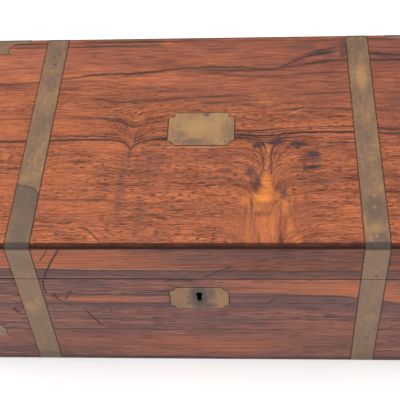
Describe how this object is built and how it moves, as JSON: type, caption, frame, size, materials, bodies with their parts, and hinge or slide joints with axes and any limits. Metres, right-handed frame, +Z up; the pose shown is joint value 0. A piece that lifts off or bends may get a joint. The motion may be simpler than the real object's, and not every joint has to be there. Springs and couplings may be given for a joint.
{
  "type": "lap desk",
  "caption": "Brass-bound rosewood lap desk: a box split by a slanting seam whose hinged lid opens flat into a writing slope over a pen and ink bay, with a box lock.",
  "frame": {"origin": "bottom centre of the shut box, on the surface that it stands on", "axes": "+X to the right along the box, +Y to the back (hinge side), +Z up; the lock faces -Y"},
  "size_m": [0.4064, 0.2484, 0.1617],
  "materials": {
    "rosewood": "old wax polish",
    "mahogany": "thin polish",
    "old_brass": "tarnished",
    "leather": "worn skiver",
    "glass": "clear moulded"
  },
  "bodies": {
    "base": {"base_front": "rosewood", "base_back": "rosewood", "base_left_side": "rosewood", "base_right_side": "rosewood", "base_bottom": "mahogany", "base_strap_front_left": "old_brass", "base_strap_front_right": "old_brass", "base_strap_back_left": "old_brass", "base_strap_back_right": "old_brass", "base_corner_plate_front_left": "old_brass", "base_corner_plate_front_right": "old_brass", "base_corner_plate_back_left": "old_brass", "base_corner_plate_back_right": "old_brass", "escutcheon": "old_brass", "lock_case": "old_brass", "lock_plate": "old_brass", "hinge_base_leaf_left": "old_brass", "hinge_base_leaf_right": "old_brass", "hinge_pin_left": "old_brass", "hinge_pin_right": "old_brass", "pen_bay_divider": "mahogany", "pen_bay_floor": "mahogany", "ink_divider_left": "mahogany", "ink_divider_right": "mahogany", "pen_tray_rest_left": "mahogany", "pen_tray_rest_right": "mahogany", "pen_tray": "mahogany", "inkwell_left": "glass", "inkwell_right": "glass", "inkwell_cap_left": "old_brass", "inkwell_cap_right": "old_brass", "upper_flap": "mahogany", "upper_leather": "leather", "upper_flap_ledge_left": "mahogany", "upper_flap_ledge_right": "mahogany"},
    "lid": {"lid_top": "rosewood", "lid_front": "rosewood", "lid_back": "rosewood", "lid_left_side": "rosewood", "lid_right_side": "rosewood", "lid_strap_left": "old_brass", "lid_strap_right": "old_brass", "lid_bracket_front_left": "old_brass", "lid_bracket_front_right": "old_brass", "lid_bracket_back_left": "old_brass", "lid_bracket_back_right": "old_brass", "name_plate": "old_brass", "link_plate": "old_brass", "hinge_lid_leaf_left": "old_brass", "hinge_lid_leaf_right": "old_brass", "lower_flap": "mahogany", "lower_leather": "leather", "lower_flap_ledge_left": "mahogany", "lower_flap_ledge_right": "mahogany"},
    "bolt": {"lock_bolt": "old_brass"}
  },
  "joints": [
    {"name": "lid_hinge", "type": "hinge", "parent": "base", "child": "lid", "pos_m": [0, 0.1231, 0.08085], "axis": [-1, 0, 0], "range_deg": [0, 180]},
    {"name": "lock_bolt_slide", "type": "slide", "parent": "base", "child": "bolt", "axis": [1, 0, 0], "range_m": [0, 0.0034]}
  ]
}
